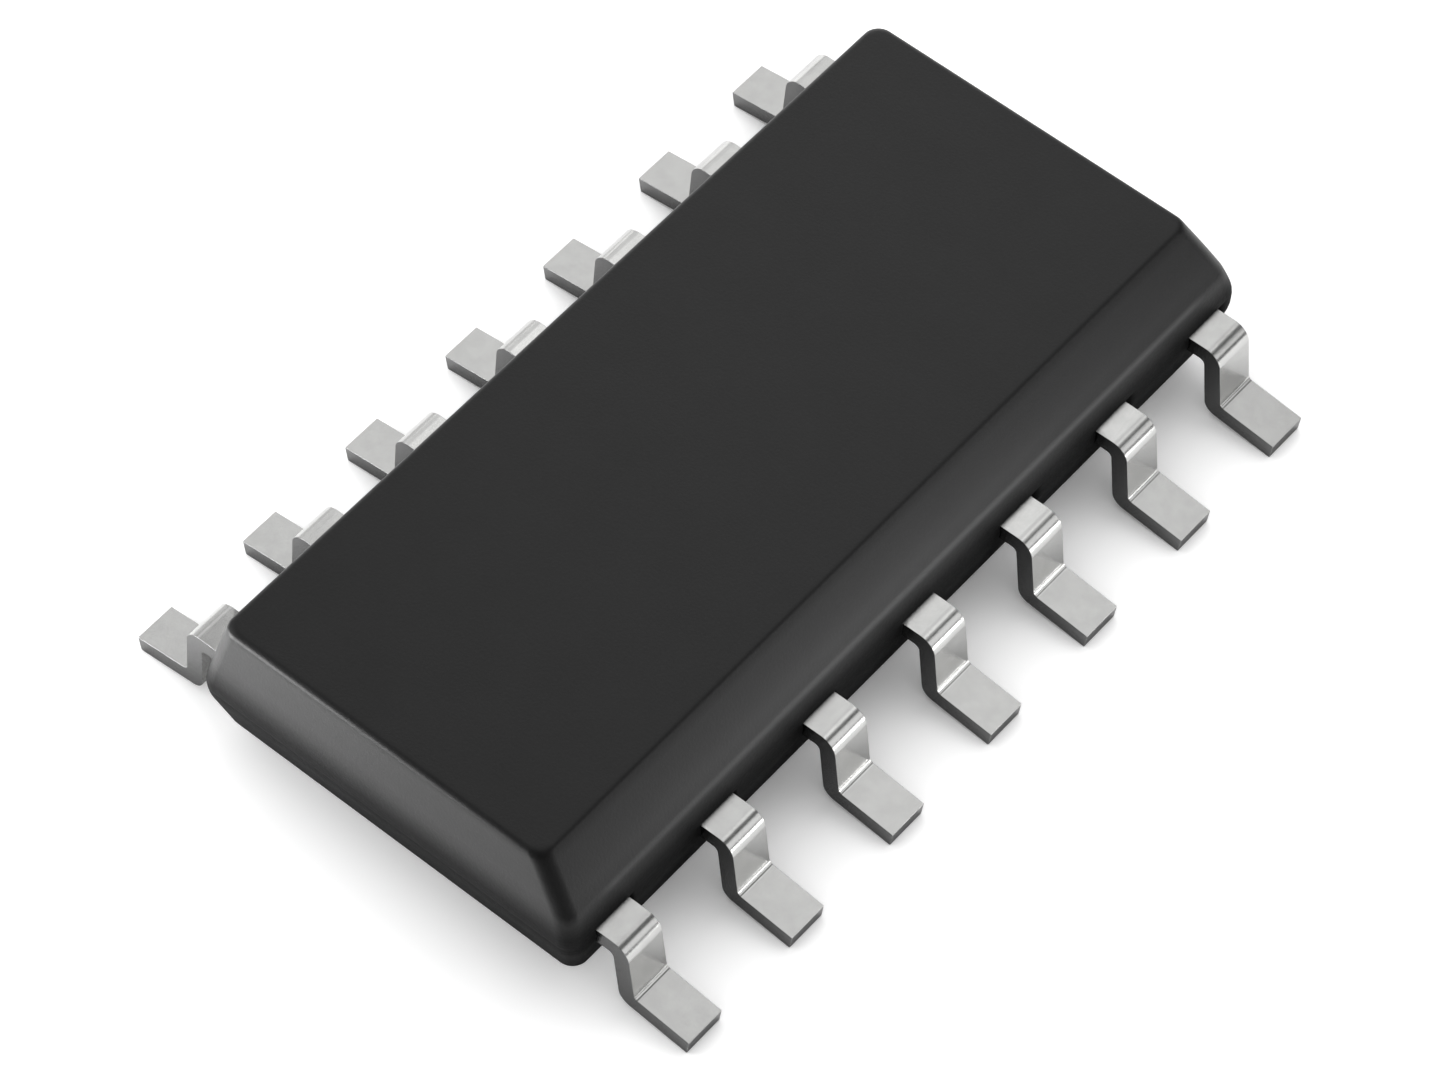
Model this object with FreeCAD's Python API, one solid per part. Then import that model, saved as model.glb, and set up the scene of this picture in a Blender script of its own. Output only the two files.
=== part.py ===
"""Small outline chip with gull wing leads, modelled with its lead frame, die and bond wires.

Frame: the origin is the middle of the footprint on the seating plane, +Z is up, +Y runs along
the body and +X points to the bevelled side, which carries pins 1 to 7. Sizes are millimetres
and angles are degrees.
"""
import FreeCAD, Part
import math
import os

# Rows of leads, which set the length of the body
PITCH = 1.27
LEADS_PER_SIDE = 7
END_MARGIN = 0.51

# Moulded body: one tapered block above the parting plane and one below it
BODY_WIDTH = 4.14
PARTING_HEIGHT = 0.83
TOP_DEPTH = 0.76
BASE_DEPTH = 0.64
TOP_SIDE_DRAFT = 18.6
TOP_END_DRAFT = 14.2
BASE_SIDE_DRAFT = 15.0
BASE_END_DRAFT = 17.5
CORNER_RADIUS = 0.15
EDGE_RADIUS = 0.07
BEVEL_INSET = 0.235
BEVEL_DROP = 0.47

# Strip that the leads, the die pad and its tie bars are stamped from
STRIP_THICKNESS = 0.17
STRIP_RISE = 0.055

# Gull wing outside the body, measured outwards from the body's widest line
LEAD_WIDTH = 0.405
KNEE_REACH = 0.304
TOE_REACH = 0.93
LEG_LEAN = 5.2
FOOT_DROOP = 7.5
OUTER_BEND = 0.12
INNER_BEND = 0.035

# Lead inside the body: a wide anchor, then a finger that slants towards one focus off the middle
ANCHOR_COVER = 0.16
ANCHOR_DEPTH = 0.26
ANCHOR_WIDTH = 0.66
LOCK_HOLE = 0.16
FINGER_WIDTH = 0.22
FINGER_GAP = 0.2
FINGER_FOCUS = 0.62
END_FINGER_OFFSET = 0.72

# Silicon die and the film of glue below it
DIE_LENGTH = 2.4
DIE_WIDTH = 1.5
DIE_THICKNESS = 0.28
GLUE_THICKNESS = 0.03
GLUE_MARGIN = 0.08
GLUE_CORNER = 0.12

# Die pad, held from both ends by its tie bars
PAD_END_MARGIN = 0.4
PAD_SIDE_MARGIN = 0.2
PAD_CORNER = 0.1
PAD_DOWNSET = 0.25
TIE_WIDTH = 0.34
TIE_LEVEL_RUN = 0.2
TIE_RAMP_ANGLE = 45.0
TIE_COVER = 0.3
TIE_BEND = 0.06

# Bond wires, from a ball on the die to a stitch on each finger, each a rod with flat sides
WIRE_DIAMETER = 0.03
WIRE_FLATS = 8
WIRE_LOOP = 0.16
WIRE_BEND = 0.05
BALL_DIAMETER = 0.08
BALL_HEIGHT = 0.025
STITCH_DIAMETER = 0.12
STITCH_HEIGHT = 0.012
BOND_INSET = 0.12
BOND_PITCH = 0.42
END_BOND_OFFSET = 0.42

# Sizes, levels and places that follow from the ones above
BODY_LENGTH = (LEADS_PER_SIDE - 1) * PITCH + 2 * END_MARGIN
BODY_TOP = PARTING_HEIGHT + TOP_DEPTH
BODY_BASE = PARTING_HEIGHT - BASE_DEPTH
STRIP_TOP = PARTING_HEIGHT + STRIP_RISE
PAD_LENGTH = DIE_LENGTH + 2 * PAD_END_MARGIN
PAD_WIDTH = DIE_WIDTH + 2 * PAD_SIDE_MARGIN
PAD_TOP = STRIP_TOP - PAD_DOWNSET
GLUE_TOP = PAD_TOP + GLUE_THICKNESS
DIE_TOP = GLUE_TOP + DIE_THICKNESS
ANCHOR_OUTER = BODY_WIDTH / 2 - ANCHOR_COVER
ANCHOR_MIDDLE = ANCHOR_OUTER - ANCHOR_DEPTH / 2
END_ROW = (LEADS_PER_SIDE - 1) / 2

ORIGIN = FreeCAD.Vector(0, 0, 0)
UP = FreeCAD.Vector(0, 0, 1)
ALONG = FreeCAD.Vector(0, 1, 0)
STRAIGHT_DOWN = -90.0
TOLERANCE = 1e-4
MITRED = 1


def point(x, y, z=0.0):
    return FreeCAD.Vector(x, y, z)


def slope(angle):
    return math.tan(math.radians(angle))


def corner_arc(before, corner, after, radius):
    """The arc that rounds a corner between two points, with its first and last points."""
    back = (before - corner).normalize()
    onward = (after - corner).normalize()
    half_turn = back.getAngle(onward) / 2
    reach = radius / math.tan(half_turn)
    first, last = corner + back * reach, corner + onward * reach
    inward = (back + onward).normalize()
    middle = corner + inward * (radius / math.sin(half_turn) - radius)
    return first, Part.Arc(first, middle, last).toShape(), last


def closed_outline(corners):
    """A closed wire through corners, each a point and the radius that rounds it."""
    points = [corner for corner, _ in corners]
    ends, edges = [], []
    for i, (corner, radius) in enumerate(corners):
        if radius == 0:
            ends.append((corner, corner))
            continue
        first, arc, last = corner_arc(points[i - 1], corner, points[(i + 1) % len(points)], radius)
        ends.append((first, last))
        edges.append(arc)
    for i, (_, leaving) in enumerate(ends):
        arriving = ends[(i + 1) % len(ends)][0]
        edges.append(Part.LineSegment(leaving, arriving).toShape())
    return Part.Wire(Part.sortEdges(edges)[0])


def rectangle(length, width, z, radius):
    """A rounded rectangle with its length along Y, centred over the origin at height z."""
    corners = [point(width / 2, -length / 2, z), point(width / 2, length / 2, z),
               point(-width / 2, length / 2, z), point(-width / 2, -length / 2, z)]
    return closed_outline([(corner, radius) for corner in corners])


def plate(length, width, bottom, thickness, radius):
    face = Part.Face(rectangle(length, width, bottom, radius))
    return face.extrude(UP * thickness)


def line_crossing(start, heading, other, other_heading):
    """Where two lines in the XZ plane meet, each given by a point and its heading."""
    ax, az = math.cos(math.radians(heading)), math.sin(math.radians(heading))
    bx, bz = math.cos(math.radians(other_heading)), math.sin(math.radians(other_heading))
    gap = other - start
    travel = (gap.x * bz - gap.z * bx) / (ax * bz - az * bx)
    return point(start.x + ax * travel, 0, start.z + az * travel)


def strip_underside(points):
    """The lower side of a bent strip in the XZ plane whose upper side runs through points."""
    headings = [math.degrees(math.atan2(b.z - a.z, b.x - a.x)) for a, b in zip(points, points[1:])]
    drops = [point(math.sin(math.radians(heading)), 0, -math.cos(math.radians(heading)))
             * STRIP_THICKNESS for heading in headings]
    bends = [line_crossing(bend + drops[i], headings[i], bend + drops[i + 1], headings[i + 1])
             for i, bend in enumerate(points[1:-1])]
    return [points[0] + drops[0], *bends, points[-1] + drops[-1]]


def bent_strip(points, radii_above, radii_below, width):
    """A strip bent along points in the XZ plane, with its width centred across them."""
    above = list(zip(points, [0, *radii_above, 0]))
    below = list(zip(strip_underside(points), [0, *radii_below, 0]))
    side = Part.Face(closed_outline(above + below[::-1]))
    side.translate(ALONG * (-width / 2))
    return side.extrude(ALONG * width)


def body_half(far_height, side_draft, end_draft):
    """The body from its parting plane to far_height, narrowed by its drafts."""
    rise = abs(far_height - PARTING_HEIGHT)
    length = BODY_LENGTH - 2 * rise * slope(end_draft)
    width = BODY_WIDTH - 2 * rise * slope(side_draft)
    widest = rectangle(BODY_LENGTH, BODY_WIDTH, PARTING_HEIGHT, CORNER_RADIUS)
    narrowest = rectangle(length, width, far_height, CORNER_RADIUS)
    return Part.makeLoft([widest, narrowest], True, True)


def bevel_line():
    """The bevel's upper and lower edge, where it meets the top and the drafted side."""
    draft = slope(TOP_SIDE_DRAFT)
    top_edge = BODY_WIDTH / 2 - TOP_DEPTH * draft
    start = point(top_edge - BEVEL_INSET, 0, BODY_TOP)
    ridge = point(top_edge + BEVEL_DROP * draft, 0, BODY_TOP - BEVEL_DROP)
    return start, ridge


def bevel_cutter():
    """The wedge that is missing along the top edge over pins 1 to 7."""
    start, ridge = bevel_line()
    above, below = start * 2 - ridge, ridge * 2 - start
    outside = point(BODY_WIDTH, 0, below.z)
    over = point(BODY_WIDTH, 0, above.z)
    face = Part.Face(Part.makePolygon([above, below, outside, over, above]))
    face.translate(ALONG * -BODY_LENGTH)
    return face.extrude(ALONG * (2 * BODY_LENGTH))


def rim_edges(shape, height):
    """The edges of shape that lie level at height."""
    return [edge for edge in shape.Edges
            if all(abs(vertex.Z - height) < TOLERANCE for vertex in edge.Vertexes)]


def bevel_edges(shape):
    """The edges of the bevelled face that don't touch the flat top along their length."""
    start, ridge = bevel_line()
    outward = (ridge - start).cross(ALONG).normalize()
    bevel = next(face for face in shape.Faces if face.normalAt(0, 0).isEqual(outward, TOLERANCE))
    rim = rim_edges(shape, BODY_TOP)
    return [edge for edge in bevel.Edges if not any(edge.isSame(other) for other in rim)]


def body_block():
    """The body as it leaves the mould, before anything inside it is taken out."""
    top = body_half(BODY_TOP, TOP_SIDE_DRAFT, TOP_END_DRAFT).cut(bevel_cutter())
    top = top.makeFillet(EDGE_RADIUS, rim_edges(top, BODY_TOP) + bevel_edges(top))
    base = body_half(BODY_BASE, BASE_SIDE_DRAFT, BASE_END_DRAFT)
    base = base.makeFillet(EDGE_RADIUS, rim_edges(base, BODY_BASE))
    return top.fuse(base)


def gull_wing():
    """The lead from its anchor to its toe, whose lower corner stands on the seating plane."""
    toe_height = STRIP_THICKNESS * math.cos(math.radians(FOOT_DROOP))
    toe = point(BODY_WIDTH / 2 + TOE_REACH, 0, toe_height)
    knee = point(BODY_WIDTH / 2 + KNEE_REACH, 0, STRIP_TOP)
    ankle = line_crossing(knee, STRAIGHT_DOWN + LEG_LEAN, toe, -FOOT_DROOP)
    root = point(ANCHOR_OUTER, 0, STRIP_TOP)
    return bent_strip([root, knee, ankle, toe], [OUTER_BEND, INNER_BEND],
                      [INNER_BEND, OUTER_BEND], LEAD_WIDTH)


def finger_tip(row):
    """The bond place on the finger of a row, counted from the middle of the side."""
    beyond_pad = FINGER_GAP + FINGER_WIDTH / 2
    if abs(row) == END_ROW:
        return point(END_FINGER_OFFSET, math.copysign(PAD_LENGTH / 2 + beyond_pad, row))
    x = PAD_WIDTH / 2 + beyond_pad
    return point(x, row * PITCH * (x - FINGER_FOCUS) / (ANCHOR_MIDDLE - FINGER_FOCUS))


def stamped(corners):
    """A flat piece of strip with straight sides, standing on the XY plane."""
    return Part.Face(Part.makePolygon(corners + corners[:1])).extrude(UP * STRIP_THICKNESS)


def stamped_block(x, y, depth, width):
    near, far = x - depth / 2, x + depth / 2
    low, high = y - width / 2, y + width / 2
    return stamped([point(near, low), point(far, low), point(far, high), point(near, high)])


def anchor(y):
    return stamped_block(ANCHOR_MIDDLE, y, ANCHOR_DEPTH, ANCHOR_WIDTH)


def lock_hole(y):
    """The square hole through the anchor, which the mould compound fills to hold the lead."""
    return stamped_block(ANCHOR_MIDDLE, y, LOCK_HOLE, LOCK_HOLE)


def finger(y, tip):
    """The strip from inside the anchor at y to a square end round tip."""
    half = FINGER_WIDTH / 2
    root = point(ANCHOR_MIDDLE, y)
    onward = (tip - root).normalize() * half
    side = UP.cross(onward)
    end = tip + onward
    return stamped([root + side, root - side, end - side, end + side])


def lead(row):
    """One lead of the +X side in one piece: finger, anchor and gull wing."""
    y = row * PITCH
    inside = anchor(y).fuse(finger(y, finger_tip(row))).cut(lock_hole(y))
    inside.translate(UP * (STRIP_TOP - STRIP_THICKNESS))
    outside = gull_wing()
    outside.translate(ALONG * y)
    return outside.fuse(inside).removeSplitter()


def tie_bar():
    """The bar from the pad's end up to the level of the leads, along +X."""
    rise_start = PAD_LENGTH / 2 + TIE_LEVEL_RUN
    rise_end = rise_start + PAD_DOWNSET / slope(TIE_RAMP_ANGLE)
    points = [point(PAD_LENGTH / 2 - TIE_WIDTH / 2, 0, PAD_TOP), point(rise_start, 0, PAD_TOP),
              point(rise_end, 0, STRIP_TOP), point(BODY_LENGTH / 2 - TIE_COVER, 0, STRIP_TOP)]
    bends = [TIE_BEND, TIE_BEND]
    return bent_strip(points, bends, bends, TIE_WIDTH)


def die_pad():
    pad = plate(PAD_LENGTH, PAD_WIDTH, PAD_TOP - STRIP_THICKNESS, STRIP_THICKNESS, PAD_CORNER)
    bars = [turned(tie_bar(), quarter) for quarter in (90, -90)]
    return pad.fuse(bars).removeSplitter()


def die_attach():
    length = DIE_LENGTH + 2 * GLUE_MARGIN
    width = DIE_WIDTH + 2 * GLUE_MARGIN
    return plate(length, width, PAD_TOP, GLUE_THICKNESS, GLUE_CORNER)


def silicon_die():
    return plate(DIE_LENGTH, DIE_WIDTH, GLUE_TOP, DIE_THICKNESS, 0)


def bond_pad(row):
    """Where the wire of a row leaves the die."""
    if abs(row) == END_ROW:
        return point(END_BOND_OFFSET, math.copysign(DIE_LENGTH / 2 - BOND_INSET, row), DIE_TOP)
    return point(DIE_WIDTH / 2 - BOND_INSET, row * BOND_PITCH, DIE_TOP)


def flat_sided_ring(diameter, centre):
    """A level polygon of the wire's number of flats, as wide across its corners as diameter."""
    spoke = point(diameter / 2, 0)
    turn = FreeCAD.Rotation(UP, 360 / WIRE_FLATS)
    corners = [centre + spoke]
    for _ in range(WIRE_FLATS):
        spoke = turn.multVec(spoke)
        corners.append(centre + spoke)
    return Part.makePolygon(corners)


def flat_sided_disc(diameter, height, centre):
    return Part.Face(flat_sided_ring(diameter, centre)).extrude(UP * height)


def wire_path(start, end):
    """Straight up from start, over a bend of two equal turns, then sloping down past end."""
    crest = start + UP * WIRE_LOOP
    onward = (end - crest).normalize()
    return Part.makePolygon([start, crest - UP * WIRE_BEND, crest + onward * WIRE_BEND,
                             end + onward * WIRE_LOOP])


def bond_wire(row):
    """One gold wire with its ball and its stitch, cut level with the finger."""
    start = bond_pad(row)
    end = finger_tip(row) + UP * STRIP_TOP
    section = flat_sided_ring(WIRE_DIAMETER, start)
    wire = wire_path(start, end).makePipeShell([section], True, False, MITRED)
    ball = flat_sided_disc(BALL_DIAMETER, BALL_HEIGHT, start)
    stitch = flat_sided_disc(STITCH_DIAMETER, STITCH_HEIGHT, end)
    below = Part.makeBox(BODY_WIDTH, BODY_LENGTH, STRIP_TOP, point(-BODY_WIDTH / 2, -BODY_LENGTH / 2))
    return wire.fuse([ball, stitch]).cut(below)


def turned(shape, angle):
    shape.rotate(ORIGIN, UP, angle)
    return shape


def positions():
    """The number, row and turn of every pin, counted counter-clockwise from above."""
    for side, turn in enumerate((0, 180)):
        for index in range(LEADS_PER_SIDE):
            yield side * LEADS_PER_SIDE + index + 1, index - END_ROW, turn


def make_parts():
    parts = {"die_pad": die_pad(), "die_attach": die_attach(), "silicon_die": silicon_die()}
    for number, row, turn in positions():
        parts[f"pin_{number}"] = turned(lead(row), turn)
        parts[f"bond_wire_{number}"] = turned(bond_wire(row), turn)
    parts["moulded_body"] = body_block().cut(list(parts.values()))
    return parts


def main():
    os.makedirs("parts", exist_ok=True)
    for name, shape in make_parts().items():
        Part.makeCompound(shape.Solids).exportStep(f"parts/{name}.step")


main()
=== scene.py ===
"""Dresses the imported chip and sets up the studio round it.

Sizes are millimetres, and MM turns them into Blender's metres. The frame is the part's own: the
leads stand on z = 0, +Y runs along the body and +X points to its bevelled side.
"""
import logging
import math
from dataclasses import dataclass
from enum import Enum

import bmesh
import bpy
from bpy.types import Material, Node, NodeSocket, NodeTree, Object, Scene
from mathutils import Matrix, Vector


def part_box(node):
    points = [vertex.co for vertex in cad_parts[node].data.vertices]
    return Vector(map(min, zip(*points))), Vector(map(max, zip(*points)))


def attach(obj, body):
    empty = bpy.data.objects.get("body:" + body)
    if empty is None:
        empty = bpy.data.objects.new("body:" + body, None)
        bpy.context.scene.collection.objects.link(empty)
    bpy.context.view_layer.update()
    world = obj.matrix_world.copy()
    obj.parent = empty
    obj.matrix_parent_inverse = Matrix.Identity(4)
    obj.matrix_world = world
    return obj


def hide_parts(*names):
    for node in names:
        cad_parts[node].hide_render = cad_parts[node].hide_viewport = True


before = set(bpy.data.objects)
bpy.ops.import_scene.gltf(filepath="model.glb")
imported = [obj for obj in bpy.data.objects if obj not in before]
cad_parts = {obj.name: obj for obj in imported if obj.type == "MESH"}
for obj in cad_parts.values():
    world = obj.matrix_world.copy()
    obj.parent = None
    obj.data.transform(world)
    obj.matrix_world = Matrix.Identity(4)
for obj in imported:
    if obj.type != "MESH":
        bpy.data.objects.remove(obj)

MM = 0.001
# Attribute of the leads' cut faces, which are dull and carry painted shade.
SHEARED_AND_SHADED = "sheared_and_shaded"
# Attribute of the body that carries a highlight painted along the ridge under the bevel.
PAINTED_RIDGE_HIGHLIGHT = "painted_ridge_highlight"
MERGE_REACH = 0.0002
ROOT_BODY = "root"
LEADS_PER_SIDE = 7
PITCH = 1.27
GRAIN_SPAN = (0.3, 0.7)
MOTTLE_SPAN = (0.35, 0.65)

Colour = tuple[float, float, float]
Links = dict[str | int, object]

log = logging.getLogger("chip")


class Slot(Enum):
    """The record's material slots."""

    MOULD_COMPOUND = "mould_compound"
    TIN_PLATE = "tin_plate"
    FRAME_COPPER = "frame_copper"
    SILVER_GLUE = "silver_glue"
    SILICON = "silicon"
    GOLD_WIRE = "gold_wire"


class Carving(Enum):
    """What one closed mesh does to another."""

    JOIN = "UNION"
    CUT = "DIFFERENCE"


def link(obj: Object) -> Object:
    """Puts obj into the scene and returns it."""
    bpy.context.scene.collection.objects.link(obj)
    return obj


def mesh_object(name: str, mesh: bmesh.types.BMesh) -> Object:
    """Turns a BMesh into a linked, smooth shaded object at the origin.

    Args:
        name: Name of the object and of its mesh.
        mesh: The shape, in metres. It is freed.

    Returns:
        The new object.
    """
    bmesh.ops.recalc_face_normals(mesh, faces=mesh.faces)
    data = bpy.data.meshes.new(name)
    mesh.to_mesh(data)
    mesh.free()
    data.shade_smooth()
    return link(bpy.data.objects.new(name, data))


def settled(obj: Object) -> Object:
    """Bakes the modifiers of obj into a plain mesh.

    Args:
        obj: An object with modifiers.

    Returns:
        The same object, with its evaluated mesh and no modifiers.
    """
    graph = bpy.context.evaluated_depsgraph_get()
    result = bpy.data.meshes.new_from_object(obj.evaluated_get(graph))
    obj.modifiers.clear()
    obj.data = result
    result.name = obj.name
    return obj


def carve(obj: Object, tool: Object, carving: Carving) -> None:
    """Joins a closed mesh to another or cuts it out of it.

    Args:
        obj: The closed mesh that is changed.
        tool: The closed mesh that changes it.
        carving: Whether tool is joined or cut out.
    """
    change = obj.modifiers.new("carving", "BOOLEAN")
    change.operation = carving.value
    change.solver = "MANIFOLD"
    change.object = tool
    settled(obj)


def flatten(obj: Object, sharpest: float) -> None:
    """Shades flat faces flat up to their rounded edges.

    The modifier drops areas as small as these in metres, so it works on the mesh in millimetres.

    Args:
        obj: The object.
        sharpest: Degrees of turn past which an edge stays a crease.
    """
    obj.data.set_sharp_from_angle(angle=math.radians(sharpest))
    obj.data.transform(Matrix.Scale(1 / MM, 4))
    weighted = obj.modifiers.new("flat_faces", "WEIGHTED_NORMAL")
    weighted.keep_sharp = True
    settled(obj)
    obj.data.transform(Matrix.Scale(MM, 4))


def wear(obj: Object, material: Material) -> None:
    """Gives every face of a piece one material.

    Args:
        obj: The piece.
        material: The material.
    """
    obj.data.materials.clear()
    obj.data.materials.append(material)
    obj.data.polygons.foreach_set("material_index", [0] * len(obj.data.polygons))


def merged_copy(name: str, nodes: list[str]) -> Object:
    """Copies CAD nodes into one mesh whose triangles share their corners.

    Args:
        name: The new object's name.
        nodes: The CAD nodes, none of which touches another.

    Returns:
        The copy.
    """
    mesh = bmesh.new()
    for node in nodes:
        mesh.from_mesh(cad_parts[node].data)
    bmesh.ops.remove_doubles(mesh, verts=mesh.verts, dist=MERGE_REACH * MM)
    return mesh_object(name, mesh)


def numbered(prefix: str) -> list[str]:
    """The names of the CAD nodes that there is one of for each lead."""
    return [f"{prefix}_{n}" for n in range(1, 2 * LEADS_PER_SIDE + 1)]


def hand_over(obj: Object, nodes: list[str]) -> None:
    """Gives a finished piece to the part's body in place of CAD nodes.

    Args:
        obj: The finished piece.
        nodes: The CAD nodes that it stands for.
    """
    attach(obj, ROOT_BODY)
    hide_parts(*nodes)
    faces = len(obj.data.polygons)
    log.info("%s stands for %d nodes with %d faces", obj.name, len(nodes), faces)


@dataclass(frozen=True)
class Corner:
    """A corner of an outline, with the radius that rounds it."""

    across: float
    up: float
    radius: float = 0.0

    @property
    def place(self) -> Vector:
        """The corner as a 2D vector."""
        return Vector((self.across, self.up))


def rounded(before: Vector, corner: Corner, after: Vector, steps: int) -> list[Vector]:
    """The points of the arc that rounds a corner.

    Args:
        before: The point that the outline comes from.
        corner: The corner.
        after: The point that the outline goes to.
        steps: Segments of the arc.

    Returns:
        The points along the arc, or the corner itself where it is sharp.
    """
    if corner.radius == 0:
        return [corner.place]
    back = (before - corner.place).normalized()
    onward = (after - corner.place).normalized()
    half = back.angle(onward) / 2
    reach = corner.radius / math.tan(half)
    centre = corner.place + (back + onward).normalized() * (corner.radius / math.sin(half))
    first = corner.place + back * reach - centre
    sweep = first.angle_signed(corner.place + onward * reach - centre)
    return [centre + Matrix.Rotation(-sweep * i / steps, 2) @ first for i in range(steps + 1)]


def outline(corners: list[Corner], steps: int, closed: bool) -> list[Vector]:
    """An outline through corners, each rounded by its own radius.

    Args:
        corners: The corners in order.
        steps: Segments of each arc.
        closed: Whether the last corner leads back to the first.

    Returns:
        The outline's points.
    """
    points = []
    last = len(corners) - 1
    for i, corner in enumerate(corners):
        if not closed and i in (0, last):
            points.append(corner.place)
            continue
        after = corners[(i + 1) % len(corners)].place
        points += rounded(corners[i - 1].place, corner, after, steps)
    return points


def crossing(start: Vector, along: Vector, other: Vector, other_along: Vector) -> Vector:
    """Where two lines of a plane meet.

    Args:
        start: A point of the first line.
        along: The first line's direction.
        other: A point of the second line.
        other_along: The second line's direction.

    Returns:
        The meeting point.
    """
    gap = other - start
    return start + along * (gap.cross(other_along) / along.cross(other_along))


@dataclass(frozen=True)
class Profile:
    """How far one side of the body reaches out at each height."""

    points: list[Vector]

    @property
    def heights(self) -> list[float]:
        """The heights of the profile's own points."""
        return [point.y for point in self.points]

    def reach(self, height: float) -> float:
        """The distance from the middle to this side.

        Args:
            height: Height over the seating plane.

        Returns:
            The reach at that height.
        """
        for low, high in zip(self.points, self.points[1:]):
            if height <= high.y:
                share = (height - low.y) / (high.y - low.y)
                return low.x + (high.x - low.x) * share
        return self.points[-1].x


@dataclass
class MouldedBody:
    """The black body: two tapered halves that meet at the parting plane, with one long bevel."""

    node: str = "moulded_body"
    parting_height: float = 0.83
    top_side_draft: float = 18.6
    top_end_draft: float = 14.2
    base_side_draft: float = 15.0
    plain_half_width: float = 1.97
    base_end_draft: float = 17.5
    bevel_inset: float = 0.235
    bevel_drop: float = 0.47
    bevel_swell: float = 0.014
    swell_radius: float = 5.2
    corner_radius: float = 0.15
    edge_radius: float = 0.07
    ridge_radius: float = 0.28
    parting_radius: float = 0.5
    arc_steps: int = 8
    side_steps: int = 40
    end_steps: int = 16
    cap_inset: float = 0.03
    closest_rings: float = 0.001
    widest_gap: float = 0.05
    end_crown: float = 0.018
    crown_lift: float = 0.7
    highlight_reach: float = 0.038
    highlight_margin: float = 0.45
    sharpest: float = 45.0

    def __post_init__(self) -> None:
        """Reads the body's overall size from its CAD node."""
        low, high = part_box(self.node)
        self.base, self.top = low[2] / MM, high[2] / MM
        self.half_width, self.half_length = high[0] / MM, high[1] / MM

    def _side(self, half: float, top_draft: float, base_draft: float, bevelled: bool,
              parting: float | None = None) -> Profile:
        """The profile of one side, from the base to the top.

        Args:
            half: The reach that the drafts start from, at the parting plane.
            top_draft: Degrees that the upper half leans in.
            base_draft: Degrees that the lower half leans in.
            bevelled: Whether this is the side with the long bevel.
            parting: The parting line's own reach, where it is less.

        Returns:
            The profile.
        """
        rise, fall = self.top - self.parting_height, self.parting_height - self.base
        taper = math.tan(math.radians(top_draft))
        foot = half - fall * math.tan(math.radians(base_draft))
        top_edge = half - rise * taper
        corners = [Corner(foot - 2 * self.edge_radius, self.base),
                   Corner(foot, self.base, self.edge_radius),
                   Corner(parting or half, self.parting_height, self.parting_radius)]
        if bevelled:
            ridge = Corner(top_edge + self.bevel_drop * taper, self.top - self.bevel_drop,
                           self.ridge_radius)
            top_edge -= self.bevel_inset
            edge = Vector((top_edge, self.top))
            outward = (edge - ridge.place).orthogonal().normalized() * -self.bevel_swell
            corners += [ridge, Corner(*((ridge.place + edge) / 2 + outward), self.swell_radius)]
        corners += [Corner(top_edge, self.top, self.edge_radius),
                    Corner(top_edge - 2 * self.edge_radius, self.top)]
        return Profile(outline(corners, self.arc_steps, closed=False)[1:-1])

    def _heights(self, profiles: list[Profile]) -> list[float]:
        """The heights of the rings, where any profile bends.

        Args:
            profiles: The profiles of all sides.

        Returns:
            The heights, upwards, with no gap too wide.
        """
        heights = []
        for height in sorted(height for profile in profiles for height in profile.heights):
            if heights and height - heights[-1] <= self.closest_rings:
                continue
            if heights:
                start, gaps = heights[-1], math.ceil((height - heights[-1]) / self.widest_gap)
                heights += [start + (height - start) * step / gaps for step in range(1, gaps)]
            heights.append(height)
        heights[-1] = self.top
        return heights

    def _crown(self, height: float) -> float:
        """How far the moulding's draw swells the upper end faces.

        Args:
            height: Height over the seating plane.

        Returns:
            The swell at that height.
        """
        span = self.top - self.edge_radius - self.parting_height
        share = max(0.0, min(1.0, (height - self.parting_height) / span))
        return self.end_crown * math.sin(math.pi * share ** self.crown_lift)

    def _ring(self, left: float, right: float, end: float, radius: float,
              height: float) -> list[Vector]:
        """One level ring round the body, counter-clockwise from the bevelled side.

        Args:
            left: The plain side's reach.
            right: The bevelled side's reach.
            end: Both ends' reach.
            radius: The corners' radius.
            height: The ring's height.

        Returns:
            The ring's points, in metres.
        """
        corners = [(right, end, 0), (-left, end, 90), (-left, -end, 180), (right, -end, 270)]
        steps = [self.end_steps, self.side_steps, self.end_steps, self.side_steps]
        arcs = []
        for x, y, turn in corners:
            centre = Vector((x - math.copysign(radius, x), y - math.copysign(radius, y)))
            angles = [math.radians(turn + 90 * i / self.arc_steps)
                      for i in range(self.arc_steps + 1)]
            arcs.append([centre + Vector((math.cos(a), math.sin(a))) * radius for a in angles])
        ring = []
        for i, arc in enumerate(arcs):
            following = arcs[(i + 1) % len(arcs)][0]
            ring += arc
            ring += [arc[-1].lerp(following, step / steps[i]) for step in range(1, steps[i])]
        return [Vector((*point, height)) * MM for point in ring]

    def build(self, inside: list[Object]) -> Object:
        """Makes the body and cuts out of it all that it holds.

        Args:
            inside: The pieces that the compound was moulded round.

        Returns:
            The body's object.
        """
        body = self._block()
        for piece in inside:
            carve(body, piece, Carving.CUT)
        flatten(body, self.sharpest)
        self._mark_painted_highlight(body)
        return body

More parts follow.
